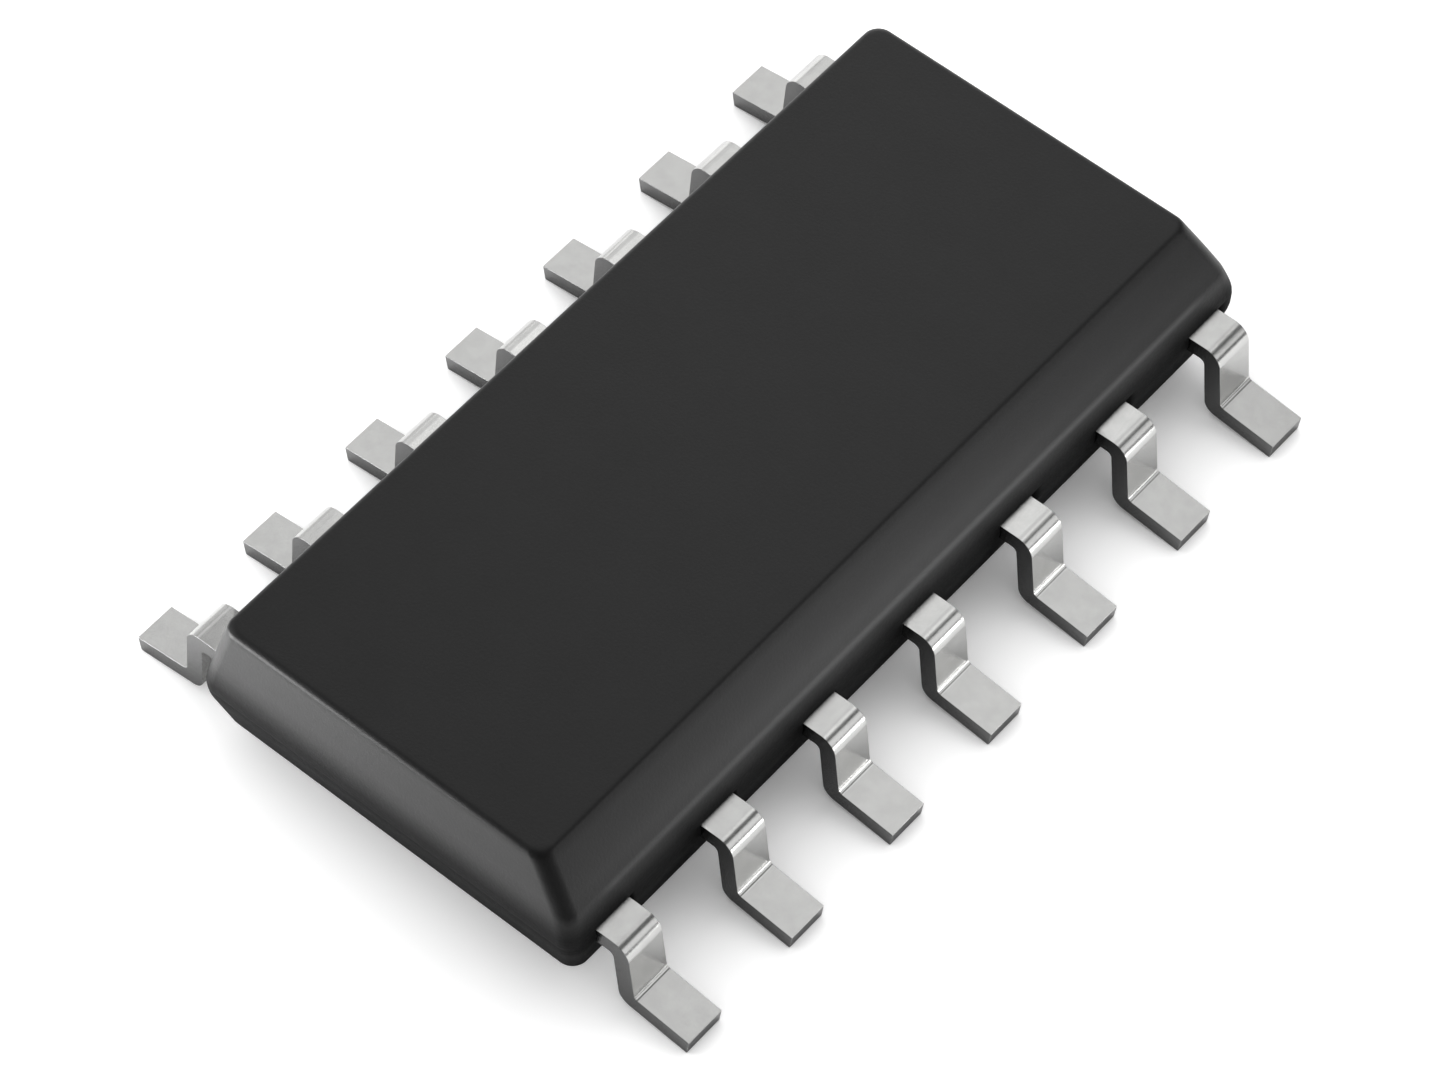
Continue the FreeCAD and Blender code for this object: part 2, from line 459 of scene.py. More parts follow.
    def _mark_painted_highlight(self, body: Object) -> None:
        """Marks how much painted highlight lies on the ridge under the bevel.

        Args:
            body: The finished body.
        """
        painted_ridge_highlight = body.data.attributes.new(PAINTED_RIDGE_HIGHLIGHT, "FLOAT", "POINT")
        ridge, flat_side = self.top - self.bevel_drop, self.half_length - self.highlight_margin
        for corner, mark in zip(body.data.vertices, painted_ridge_highlight.data):
            x, y, z = corner.co / MM
            if x > self.half_width - self.bevel_drop and abs(y) < flat_side:
                # Painted highlight: strongest on the ridge's line, fading within the reach above
                # and below it.
                mark.value = max(0.0, 1 - abs(z - ridge) / self.highlight_reach)

    def _block(self) -> Object:
        """The body without its hollows, from level rings closed top and bottom.

        Returns:
            The closed block.
        """
        side = self.half_width, self.top_side_draft, self.base_side_draft
        left = self._side(*side, False, self.plain_half_width)
        right = self._side(*side, True)
        end = self._side(self.half_length, self.top_end_draft, self.base_end_draft, False)
        levels = [(left.reach(z), right.reach(z), end.reach(z) + self._crown(z),
                   self.corner_radius, z) for z in self._heights([left, right, end])]
        for at, place in ((0, 0), (-1, len(levels) + 1)):
            inner = [reach - self.cap_inset for reach in levels[at][:4]]
            levels.insert(place, (*inner, levels[at][4]))
        mesh = bmesh.new()
        rings = [[mesh.verts.new(point) for point in self._ring(*level)] for level in levels]
        for lower, upper in zip(rings, rings[1:]):
            for i in range(len(lower)):
                j = (i + 1) % len(lower)
                mesh.faces.new((lower[i], lower[j], upper[j], upper[i]))
        mesh.faces.new(rings[0])
        mesh.faces.new(rings[-1])
        return mesh_object("body_shell", mesh)


@dataclass
class Leads:
    """Fourteen gull wing leads, each one strip with its anchor and finger inside the body."""

    strip_top: float = 0.885
    strip_thickness: float = 0.17
    width: float = 0.405
    knee: float = 2.374
    toe: float = 3.0
    root: float = 1.86
    leg_lean: float = 5.2
    foot_droop: float = 7.5
    knee_bend: float = 0.165
    heel_bend: float = 0.13
    inner_bend: float = 0.055
    arc_steps: int = 12
    edge_width: float = 0.004
    edge_steps: int = 3
    edge_turn: float = 40.0
    side_facing: float = 0.35
    toe_facing: float = 0.99
    splice: float = 1.93
    sharpest: float = 45.0

    def _strip_corners(self) -> list[Corner]:
        """The corners of the strip's side view.

        Returns:
            The corners, along the upper side and back along the lower one.
        """
        droop, lean = math.radians(self.foot_droop), math.radians(self.leg_lean)
        thick = self.strip_thickness
        leg = Vector((math.sin(lean), -math.cos(lean)))
        foot = Vector((math.cos(droop), -math.sin(droop)))
        knee, toe = Vector((self.knee, self.strip_top)), Vector((self.toe, thick * math.cos(droop)))
        knee_below = knee + Vector((-thick * (1 - math.sin(lean)) / math.cos(lean), -thick))
        toe_below = toe + Vector((foot.y, -foot.x)) * thick
        ankle = crossing(knee, leg, toe, foot)
        ankle_below = crossing(knee_below, leg, toe_below, foot)
        return [Corner(self.root, self.strip_top),
                Corner(*knee, self.knee_bend),
                Corner(*ankle, self.inner_bend),
                Corner(*toe),
                Corner(*toe_below),
                Corner(*ankle_below, self.heel_bend),
                Corner(*knee_below, self.inner_bend),
                Corner(self.root, self.strip_top - thick)]

    def _gull_wing(self) -> Object:
        """One gull wing of the bevelled side, in the middle of its row.

        Returns:
            The gull wing, with sharp edges.
        """
        points = outline(self._strip_corners(), self.arc_steps, closed=True)
        mesh = bmesh.new()
        side = mesh.faces.new([mesh.verts.new(Vector((point.x, -self.width / 2, point.y)) * MM)
                               for point in points])
        grown = bmesh.ops.extrude_face_region(mesh, geom=[side])["geom"]
        corners = [item for item in grown if isinstance(item, bmesh.types.BMVert)]
        bmesh.ops.translate(mesh, verts=corners, vec=(0, self.width * MM, 0))
        return mesh_object("leads", mesh)

    def _inner_ends(self) -> Object:
        """The anchors and fingers, as the CAD nodes have them, cut off just inside the body.

        Returns:
            All of them, as one closed mesh.
        """
        inner = merged_copy("inner_ends", numbered("pin"))
        mesh = bmesh.new()
        mesh.from_mesh(inner.data)
        for side in (1, -1):
            bmesh.ops.bisect_plane(mesh, geom=[*mesh.verts, *mesh.edges, *mesh.faces],
                                   plane_co=(side * self.splice * MM, 0, 0),
                                   plane_no=(side, 0, 0), clear_outer=True)
        bmesh.ops.holes_fill(mesh, edges=[edge for edge in mesh.edges if edge.is_boundary])
        bmesh.ops.recalc_face_normals(mesh, faces=mesh.faces)
        mesh.to_mesh(inner.data)
        mesh.free()
        return inner

    def _mark_sheared_and_shaded(self, leads: Object) -> None:
        """Marks the faces that the punch cut: the strip's sides and its toes, which get a dull
        colour darkened with painted shade.

        Args:
            leads: The finished leads.
        """
        droop = math.radians(self.foot_droop)
        sheared_and_shaded = leads.data.attributes.new(SHEARED_AND_SHADED, "FLOAT", "FACE")
        for face, mark in zip(leads.data.polygons, sheared_and_shaded.data):
            x, y, z = face.normal
            outside = abs(face.center.x) > self.knee * MM
            toe = outside and abs(x) * math.cos(droop) - z * math.sin(droop) > self.toe_facing
            # These faces get the dull grey that is partly painted shade.
            mark.value = float(abs(y) > self.side_facing or toe)

    def build(self, finish: Material) -> Object:
        """Makes both rows of leads.

        Args:
            finish: The leads' material.

        Returns:
            The leads, as one mesh.
        """
        leads = self._gull_wing()
        edges = leads.modifiers.new("coined_edges", "BEVEL")
        edges.width = self.edge_width * MM
        edges.segments = self.edge_steps
        edges.limit_method = "ANGLE"
        edges.angle_limit = math.radians(self.edge_turn)
        LeadRows().tree(finish).attach(leads)
        settled(leads)
        inner = self._inner_ends()
        carve(leads, inner, Carving.JOIN)
        bpy.data.objects.remove(inner)
        flatten(leads, self.sharpest)
        self._mark_sheared_and_shaded(leads)
        wear(leads, finish)
        return leads


def feed(tree: NodeTree, node: Node, links: Links) -> None:
    """Links or sets the inputs of a node.

    Args:
        tree: The node's tree.
        node: The node.
        links: For each input's name or number, a socket to link or a value to set.
    """
    for name, value in links.items():
        if isinstance(value, NodeSocket):
            tree.links.new(value, node.inputs[name])
        else:
            node.inputs[name].default_value = value


def add_node(tree: NodeTree, kind: str, links: Links, **settings: object) -> Node:
    """Adds a node to a tree.

    Args:
        tree: The tree.
        kind: The node's type.
        links: What its inputs get, as feed() takes it.
        settings: Properties of the node.

    Returns:
        The node.
    """
    node = tree.nodes.new(kind)
    for name, value in settings.items():
        setattr(node, name, value)
    feed(tree, node, links)
    return node


def computed(tree: NodeTree, operation: str, first: object, second: object) -> NodeSocket:
    """Adds a Math node.

    Args:
        tree: The tree.
        operation: What the node does.
        first: A socket to link or a value to set.
        second: The same for the other input.

    Returns:
        The node's result.
    """
    return add_node(tree, "ShaderNodeMath", {0: first, 1: second}, operation=operation).outputs[0]


class GeometryTree:
    """A geometry node tree under construction, with named inputs."""

    def __init__(self, name: str) -> None:
        """Starts a tree that takes and gives geometry.

        Args:
            name: The tree's name.
        """
        self.group = bpy.data.node_groups.new(name, "GeometryNodeTree")
        self.values: dict[str, object] = {}
        self.add_input("Geometry", "NodeSocketGeometry")
        self.group.interface.new_socket("Geometry", in_out="OUTPUT",
                                        socket_type="NodeSocketGeometry")
        self.inputs = self.group.nodes.new("NodeGroupInput")
        self.outputs = self.group.nodes.new("NodeGroupOutput")

    def add_input(self, name: str, kind: str, value: object = None) -> None:
        """Adds a named input.

        Args:
            name: The input's name.
            kind: Its socket type.
            value: The value that attach() gives it.
        """
        self.group.interface.new_socket(name, in_out="INPUT", socket_type=kind)
        if value is not None:
            self.values[name] = value

    def node(self, kind: str, links: Links, **settings: object) -> Node:
        """Adds a node, as add_node does."""
        return add_node(self.group, kind, links, **settings)

    def finish(self, socket: NodeSocket) -> None:
        """Ends the tree with real geometry that has the Material input's material.

        Args:
            socket: The finished shape.
        """
        real = self.node("GeometryNodeRealizeInstances", {"Geometry": socket})
        material = self.inputs.outputs["Material"]
        dressed = self.node("GeometryNodeSetMaterial", {"Geometry": real.outputs[0],
                                                        "Material": material})
        self.group.links.new(dressed.outputs[0], self.outputs.inputs[0])

    def attach(self, obj: Object) -> None:
        """Adds the tree to an object and sets its inputs by their identifiers.

        Args:
            obj: The object.
        """
        modifier = obj.modifiers.new(self.group.name, "NODES")
        modifier.node_group = self.group
        for item in self.group.interface.items_tree:
            given = item.item_type == "SOCKET" and item.in_out == "INPUT"
            if given and item.name in self.values:
                modifier[item.identifier] = self.values[item.name]


@dataclass(frozen=True)
class LeadRows:
    """The tree that repeats one gull wing along both sides of the body."""

    pitch: float = PITCH
    count: int = LEADS_PER_SIDE

    def tree(self, finish: Material) -> GeometryTree:
        """Builds the tree.

        Args:
            finish: The leads' material.

        Returns:
            The tree, ready to attach.
        """
        tree = GeometryTree("lead_rows")
        tree.add_input("Pitch", "NodeSocketFloat", self.pitch * MM)
        tree.add_input("Leads per side", "NodeSocketInt", self.count)
        tree.add_input("Material", "NodeSocketMaterial", finish)
        given = tree.inputs.outputs
        gaps = computed(tree.group, "SUBTRACT", given["Leads per side"], 1.0)
        half = computed(tree.group, "MULTIPLY", gaps, -0.5)
        first = computed(tree.group, "MULTIPLY", half, given["Pitch"])
        start = tree.node("ShaderNodeCombineXYZ", {"Y": first})
        step = tree.node("ShaderNodeCombineXYZ", {"Y": given["Pitch"]})
        line = tree.node("GeometryNodeMeshLine", {"Count": given["Leads per side"],
                                                  "Start Location": start.outputs[0],
                                                  "Offset": step.outputs[0]})
        row = tree.node("GeometryNodeInstanceOnPoints", {"Points": line.outputs[0],
                                                         "Instance": given["Geometry"]})
        other = tree.node("GeometryNodeTransform", {"Geometry": row.outputs[0],
                                                    "Rotation": (0, 0, math.pi)})
        both = tree.node("GeometryNodeJoinGeometry", {})
        for side in (row, other):
            tree.group.links.new(side.outputs[0], both.inputs[0])
        tree.finish(both.outputs[0])
        return tree


@dataclass(frozen=True)
class WireShapes:
    """The tree that turns bent lines into round wires, each with its ball and its stitch."""

    diameter: float = 0.03
    bend: float = 0.06
    bend_steps: int = 6
    sides: int = 12
    rim_sides: int = 24
    ball_diameter: float = 0.08
    ball_neck: float = 0.05
    ball_height: float = 0.025
    stitch_diameter: float = 0.12
    stitch_crown: float = 0.09
    stitch_height: float = 0.012
    line_points: int = 3
    index_slack: float = 0.1
    room_width: float = 5.0
    room_length: float = 10.0

    def tree(self, strip_top: float, finish: Material) -> GeometryTree:
        """Builds the tree.

        Args:
            strip_top: Height of the fingers' upper side, which the stitches end level with.
            finish: The wires' material.

        Returns:
            The tree, ready to attach.
        """
        tree = GeometryTree("wire_shapes")
        tree.add_input("Diameter", "NodeSocketFloat", self.diameter * MM)
        tree.add_input("Bend", "NodeSocketFloat", self.bend * MM)
        tree.add_input("Strip top", "NodeSocketFloat", strip_top * MM)
        tree.add_input("Material", "NodeSocketMaterial", finish)
        given = tree.inputs.outputs
        radius = computed(tree.group, "MULTIPLY", given["Diameter"], 0.5)
        lines = tree.node("GeometryNodeMeshToCurve", {"Mesh": given["Geometry"]})
        bent = tree.node("GeometryNodeFilletCurve",
                         {"Curve": lines.outputs[0], "Radius": given["Bend"],
                          "Count": self.bend_steps}, mode="POLY")
        section = tree.node("GeometryNodeCurvePrimitiveCircle",
                            {"Resolution": self.sides, "Radius": radius})
        wires = tree.node("GeometryNodeCurveToMesh",
                          {"Curve": bent.outputs[0], "Fill Caps": True,
                           "Profile Curve": section.outputs["Curve"]})
        balls = self._studs(tree, 0, self.ball_diameter, self.ball_neck, self.ball_height)
        stitches = self._studs(tree, 1, self.stitch_diameter, self.stitch_crown, self.stitch_height)
        joined = tree.node("GeometryNodeMeshBoolean", {}, operation="UNION", solver="MANIFOLD")
        for shape in (wires.outputs[0], balls, stitches):
            tree.group.links.new(shape, joined.inputs["Mesh 2"])
        tree.finish(self._above_strip(tree, joined.outputs[0]))
        return tree

    def _studs(self, tree: GeometryTree, end: int, foot: float, head: float,
               height: float) -> NodeSocket:
        """A flattened stud at one end of every line.

        Args:
            tree: The tree.
            end: 0 for the die's end and 1 for the finger's.
            foot: The stud's diameter at the bottom.
            head: Its diameter at the top.
            height: Its height.

        Returns:
            The studs.
        """
        number = tree.node("GeometryNodeInputIndex", {})
        place = computed(tree.group, "MODULO", number.outputs[0], float(self.line_points))
        wanted = end * (self.line_points - 1.0)
        chosen = tree.node("FunctionNodeCompare",
                           {0: place, 1: wanted, "Epsilon": self.index_slack}, operation="EQUAL")
        stud = tree.node("GeometryNodeMeshCone",
                         {"Vertices": self.rim_sides, "Radius Bottom": foot / 2 * MM,
                          "Radius Top": head / 2 * MM, "Depth": height * MM})
        placed = tree.node("GeometryNodeInstanceOnPoints",
                           {"Points": tree.inputs.outputs["Geometry"],
                            "Selection": chosen.outputs[0], "Instance": stud.outputs[0]})
        return tree.node("GeometryNodeRealizeInstances",
                         {"Geometry": placed.outputs[0]}).outputs[0]

    def _above_strip(self, tree: GeometryTree, shape: NodeSocket) -> NodeSocket:
        """Cuts away what would reach into the fingers.

        Args:
            tree: The tree.
            shape: The shape to cut.

        Returns:
            The shape above the strip's top.
        """
        top = tree.inputs.outputs["Strip top"]
        half = computed(tree.group, "MULTIPLY", top, 0.5)
        size = tree.node("ShaderNodeCombineXYZ", {"X": self.room_width * MM,
                                                  "Y": self.room_length * MM, "Z": top})
        block = tree.node("GeometryNodeMeshCube", {"Size": size.outputs[0]})
        middle = tree.node("ShaderNodeCombineXYZ", {"Z": half})
        below = tree.node("GeometryNodeTransform", {"Geometry": block.outputs[0],
                                                    "Translation": middle.outputs[0]})
        cut = tree.node("GeometryNodeMeshBoolean", {"Mesh 1": shape}, operation="DIFFERENCE",
                        solver="MANIFOLD")
        tree.group.links.new(below.outputs[0], cut.inputs["Mesh 2"])
        return cut.outputs[0]


@dataclass
class BondWires:
    """Fourteen gold wires from the die to the fingers."""

    die_length: float = 2.4
    die_width: float = 1.5
    die_top: float = 0.945
    strip_top: float = 0.885
    pad_length: float = 3.2
    pad_width: float = 1.9
    bond_inset: float = 0.12
    bond_pitch: float = 0.42
    end_bond_offset: float = 0.42
    finger_gap: float = 0.2
    finger_width: float = 0.22
    finger_focus: float = 0.62
    end_finger_offset: float = 0.72
    anchor_middle: float = 1.78
    loop: float = 0.16
    sharpest: float = 40.0

    def _ends(self, row: int) -> tuple[Vector, Vector]:
        """Where a wire of the bevelled side starts and ends.

        Args:
            row: The lead that it goes to, counted along the body from the middle one, 0.

        Returns:
            The place where it leaves the die and the one where it meets its finger.
        """
        beyond_pad = self.finger_gap + self.finger_width / 2
        if abs(row) == LEADS_PER_SIDE // 2:
            die_y = math.copysign(self.die_length / 2 - self.bond_inset, row)
            tip_y = math.copysign(self.pad_length / 2 + beyond_pad, row)
            return (Vector((self.end_bond_offset, die_y, self.die_top)),
                    Vector((self.end_finger_offset, tip_y, self.strip_top)))
        x = self.pad_width / 2 + beyond_pad
        slant = (x - self.finger_focus) / (self.anchor_middle - self.finger_focus)
        die_x = self.die_width / 2 - self.bond_inset
        return (Vector((die_x, row * self.bond_pitch, self.die_top)),
                Vector((x, row * PITCH * slant, self.strip_top)))

    def build(self, finish: Material) -> Object:
        """Makes all the wires.

        Args:
            finish: The wires' material.

        Returns:
            The wires, as one mesh.
        """
        mesh = bmesh.new()
        for side in (1, -1):
            for row in range(-(LEADS_PER_SIDE // 2), LEADS_PER_SIDE // 2 + 1):
                start, end = self._ends(row)
                crest = start + Vector((0, 0, self.loop))
                line = [mesh.verts.new(Vector((side * point.x, side * point.y, point.z)) * MM)
                        for point in (start, crest, end)]
                for before, after in zip(line, line[1:]):
                    mesh.edges.new((before, after))
        wires = mesh_object("bond_wires", mesh)
        WireShapes().tree(self.strip_top, finish).attach(wires)
        settled(wires)
        flatten(wires, self.sharpest)
        wear(wires, finish)
        return wires


def marked_colour(tree: NodeTree, plain: NodeSocket, attribute: str, colour: Colour) -> NodeSocket:
    """Mixes in a colour where a piece's attribute marks it.

    Args:
        tree: The material's tree.
        plain: The colour elsewhere.
        attribute: The attribute's name.
        colour: The colour where the attribute is 1.

    Returns:
        The mixed colour.
    """
    mark = add_node(tree, "ShaderNodeAttribute", {}, attribute_name=attribute)
    mix = add_node(tree, "ShaderNodeMixRGB", {"Fac": mark.outputs["Fac"], "Color1": plain,
                                              "Color2": (*colour, 1)})
    return mix.outputs[0]


def grain_group() -> NodeTree:
    """Fine grain, for bump and roughness, and wide mottling, for colour.

    Returns:
        The group, with its sizes given as features per metre.
    """
    group = bpy.data.node_groups.new("grain_and_mottle", "ShaderNodeTree")
    given = group.nodes.new("NodeGroupInput")
    result = group.nodes.new("NodeGroupOutput")
    place = add_node(group, "ShaderNodeTexCoord", {})
    for name, detail in (("Grain", 3.0), ("Mottle", 4.0)):
        group.interface.new_socket(f"{name} Scale", in_out="INPUT", socket_type="NodeSocketFloat")
        group.interface.new_socket(name, in_out="OUTPUT", socket_type="NodeSocketFloat")
        noise = add_node(group, "ShaderNodeTexNoise",
                         {"Vector": place.outputs["Object"],
                          "Scale": given.outputs[f"{name} Scale"], "Detail": detail})
        group.links.new(noise.outputs["Fac"], result.inputs[name])
    return group


@dataclass(frozen=True)
class Finish:
    """A surface: its colour, gloss and grain. Grain and mottle are feature sizes."""

    name: str
    colour: Colour
    roughness: float
    metallic: float
    grain: float
    grain_height: float
    mottle: float
    colour_change: float
    roughness_change: float
    specular: float = 0.5

    def material(self, grain_nodes: NodeTree) -> Material:
        """Builds the material.

        Args:
            grain_nodes: The group from grain_group().

        Returns:
            The material.
        """
        material = bpy.data.materials.new(self.name)
        material.use_nodes = True
        tree = material.node_tree
        texture = add_node(tree, "ShaderNodeGroup",
                           {"Grain Scale": 1 / (self.grain * MM),
                            "Mottle Scale": 1 / (self.mottle * MM)}, node_tree=grain_nodes)
        bump = add_node(tree, "ShaderNodeBump",
                        {"Height": texture.outputs["Grain"],
                         "Distance": self.grain_height * MM, "Strength": 1.0})
        feed(tree, tree.nodes["Principled BSDF"],
             {"Base Color": self._tone(tree, texture), "Metallic": self.metallic,
              "Specular IOR Level": self.specular, "Normal": bump.outputs[0],
              **self._gloss(tree, texture)})
        return material

    def _by_grain(self, tree: NodeTree, texture: Node, middle: float) -> NodeSocket:
        """A roughness that changes a little with the grain.

        Args:
            tree: The material's tree.
            texture: Its grain node.
            middle: The roughness that it changes round.

        Returns:
            The roughness.
        """
        change = add_node(tree, "ShaderNodeMapRange",
                          {"Value": texture.outputs["Grain"],
                           "From Min": GRAIN_SPAN[0], "From Max": GRAIN_SPAN[1],
                           "To Min": middle - self.roughness_change,
                           "To Max": middle + self.roughness_change})
        return change.outputs[0]

    def _gloss(self, tree: NodeTree, texture: Node) -> Links:
        """The roughness.

        Args:
            tree: The material's tree.
            texture: Its grain node.

        Returns:
            What the shader's inputs get.
        """
        return {"Roughness": self._by_grain(tree, texture, self.roughness)}

    def _tone(self, tree: NodeTree, texture: Node) -> NodeSocket:
        """The colour, which wanders between two tones with the mottling.

        Args:
            tree: The material's tree.
            texture: Its grain node.

        Returns:
            The colour.
        """
        ramp = add_node(tree, "ShaderNodeValToRGB", {"Fac": texture.outputs["Mottle"]})
        for stop, place, sign in zip(ramp.color_ramp.elements, MOTTLE_SPAN, (-1, 1)):
            stop.position = place
            stop.color = [channel * (1 + sign * self.colour_change)
                          for channel in self.colour] + [1]
        return ramp.outputs["Color"]


@dataclass(frozen=True)
class Level:
    """How rough and how polished the moulding is at one height."""

    height: float
    roughness: float
    polish: float


@dataclass(frozen=True)
class MouldedFinish(Finish):
    """Moulded compound that is matt up to its parting line and has a soft polish above it."""

    polish_roughness: float = 0.4
    # Lighter grey painted onto the ridge as a highlight.
    painted_highlight_colour: Colour = (0.085, 0.085, 0.086)
    base: float = 0.19
    top: float = 1.59
    matt_height: float = 0.8
    levels: tuple[Level, ...] = (
        Level(0.95, 0.72, 0.12), Level(1.06, 0.6, 0.45), Level(1.14, 0.5, 0.8),
        Level(1.24, 0.5, 1.0), Level(1.35, 0.55, 1.0), Level(1.5, 0.55, 1.0),
        Level(1.58, 0.6, 0.65))

    def _gloss(self, tree: NodeTree, texture: Node) -> Links:
        """Roughness and polish by height, and roughness a little by the grain.

        Args:
            tree: The material's tree.
            texture: Its grain node.

        Returns:
            What the shader's inputs get.
        """
        place = add_node(tree, "ShaderNodeTexCoord", {})
        axes = add_node(tree, "ShaderNodeSeparateXYZ", {"Vector": place.outputs["Object"]})
        rise = add_node(tree, "ShaderNodeMapRange",
                        {"Value": axes.outputs["Z"], "From Min": self.base * MM,
                         "From Max": self.top * MM})
        ramp = add_node(tree, "ShaderNodeValToRGB", {"Fac": rise.outputs[0]})
        stops = ramp.color_ramp.elements
        for i, level in enumerate((Level(self.matt_height, self.roughness, 0.0), *self.levels)):
            share = (level.height - self.base) / (self.top - self.base)
            stop = stops[i] if i < 2 else stops.new(share)
            stop.position, stop.color = share, (level.roughness, level.polish, 0, 1)
        gloss = add_node(tree, "ShaderNodeSeparateColor", {"Color": ramp.outputs["Color"]})
        rough = computed(tree, "ADD", gloss.outputs["Red"], self._by_grain(tree, texture, 0.0))
        return {"Roughness": rough, "Coat Weight": gloss.outputs["Green"],
                "Coat Roughness": self.polish_roughness}

    def _tone(self, tree: NodeTree, texture: Node) -> NodeSocket:
        """The compound's colour, lighter grey along the ridge where a highlight is painted into it.
        """
        # Mixes the painted highlight into the ridge's colour.
        return marked_colour(tree, super()._tone(tree, texture), PAINTED_RIDGE_HIGHLIGHT, self.painted_highlight_colour)


@dataclass(frozen=True)
class PlatedFinish(Finish):
    """Plating that is dull where the strip was sheared, and darker there with painted shade that
    stands in for the dark surroundings those faces mirror.
    """

    # Dull grey of cut faces, darkened further as painted shade.
    sheared_and_shaded_colour: Colour = (0.25, 0.25, 0.25)

    def _tone(self, tree: NodeTree, texture: Node) -> NodeSocket:
        """The plating's colour, or on cut faces a dull grey darkened with painted shade."""
        # Mixes the dull, painted-shade grey onto the cut faces.
        return marked_colour(tree, super()._tone(tree, texture), SHEARED_AND_SHADED, self.sheared_and_shaded_colour)


COMPOUND = MouldedFinish(
    name="black_mould_compound", colour=(0.007, 0.007, 0.0073), roughness=0.75, metallic=0.0,
    grain=0.026, grain_height=0.0045, mottle=0.5, colour_change=0.2, roughness_change=0.04,
    specular=0.2)
TIN = PlatedFinish(
    name="satin_tin", colour=(0.68, 0.68, 0.67), roughness=0.22, metallic=1.0,
    grain=0.012, grain_height=0.0002, mottle=0.15, colour_change=0.03, roughness_change=0.04)
COPPER = Finish(
    name="bare_copper", colour=(0.73, 0.43, 0.3), roughness=0.35, metallic=1.0,
    grain=0.02, grain_height=0.0005, mottle=0.3, colour_change=0.06, roughness_change=0.06)
GLUE = Finish(
    name="silver_filled_glue", colour=(0.5, 0.5, 0.48), roughness=0.6, metallic=0.0,
    grain=0.03, grain_height=0.004, mottle=0.2, colour_change=0.15, roughness_change=0.1)
SILICON = Finish(
    name="polished_silicon", colour=(0.16, 0.17, 0.2), roughness=0.2, metallic=0.6,
    grain=0.05, grain_height=0.0002, mottle=0.4, colour_change=0.1, roughness_change=0.03)
GOLD = Finish(
    name="drawn_gold", colour=(0.95, 0.68, 0.27), roughness=0.25, metallic=1.0,
    grain=0.01, grain_height=0.0002, mottle=0.1, colour_change=0.03, roughness_change=0.05)


def by_ray(tree: NodeTree, seen: float, mirrored: float, other: float) -> NodeSocket:
    """A value that differs between what the camera sees, what surfaces mirror, and the rest.

    Args:
        tree: The tree that the value is for.
        seen: The value for camera rays.
        mirrored: The value for glossy and transmission rays.
        other: The value for all other rays.

    Returns:
        The value.
    """
    path = add_node(tree, "ShaderNodeLightPath", {})
    mirror = computed(tree, "MAXIMUM", path.outputs["Is Glossy Ray"],
                      path.outputs["Is Transmission Ray"])
    unseen = add_node(tree, "ShaderNodeMapRange", {"Value": mirror, "To Min": other,
                                                   "To Max": mirrored})
    value = add_node(tree, "ShaderNodeMapRange", {"Value": path.outputs["Is Camera Ray"],
                                                  "To Min": unseen.outputs[0], "To Max": seen})
    return value.outputs[0]


@dataclass(frozen=True)
class Softbox:
    """A flat rectangular lamp that faces the object."""

    name: str
    azimuth: float
    elevation: float
    distance: float
    width: float
    height: float
    radiance: float

    def build(self) -> None:
        """Makes the lamp, with azimuth counted from +Y towards +X."""
        lamp = bpy.data.lights.new(self.name, "AREA")
        lamp.shape = "RECTANGLE"
        lamp.size, lamp.size_y = self.width * MM, self.height * MM
        lamp.energy = self.radiance * math.pi * lamp.size * lamp.size_y
        obj = link(bpy.data.objects.new(self.name, lamp))
        turn, rise = math.radians(self.azimuth), math.radians(self.elevation)
        towards = Vector((math.sin(turn) * math.cos(rise), math.cos(turn) * math.cos(rise),
                          math.sin(rise)))
        obj.location = towards * self.distance * MM
        obj.rotation_euler = towards.to_track_quat("Z", "Y").to_euler()
        obj.visible_camera = False


